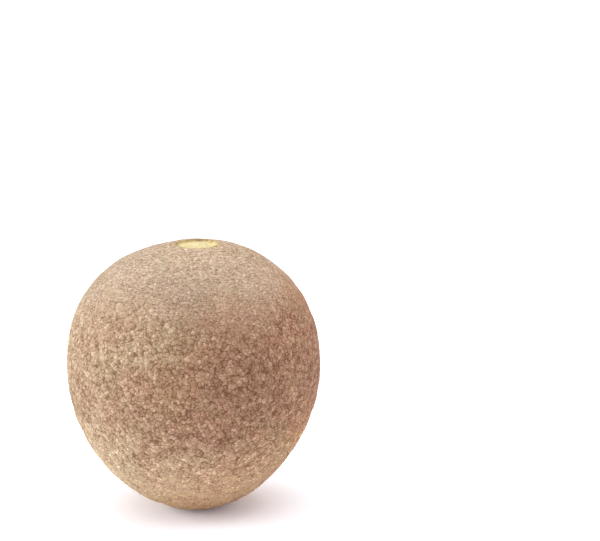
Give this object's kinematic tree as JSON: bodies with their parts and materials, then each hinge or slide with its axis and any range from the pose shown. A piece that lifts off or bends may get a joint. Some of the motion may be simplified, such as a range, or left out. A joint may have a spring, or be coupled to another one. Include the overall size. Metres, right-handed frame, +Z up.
{
  "type": "wood apple",
  "caption": "Whole wood apple: a hard, scurfy brown egg-shaped fruit with a sunken pale stalk scar, standing on a small flat spot.",
  "frame": {"origin": "middle of the small flat spot that the fruit rests on, at the blossom end", "axes": "+Z up, from the resting flat to the stalk scar; -Y is the side that the picture shows; +X to the right in the picture"},
  "size_m": [0.0682, 0.0682, 0.0723],
  "materials": {
    "rind": "matt, scurfy, pale granules in a darker brown net",
    "stalk_scar": "matt, bare cream fibres"
  },
  "bodies": {
    "root": {"fruit": "rind"}
  },
  "joints": []
}
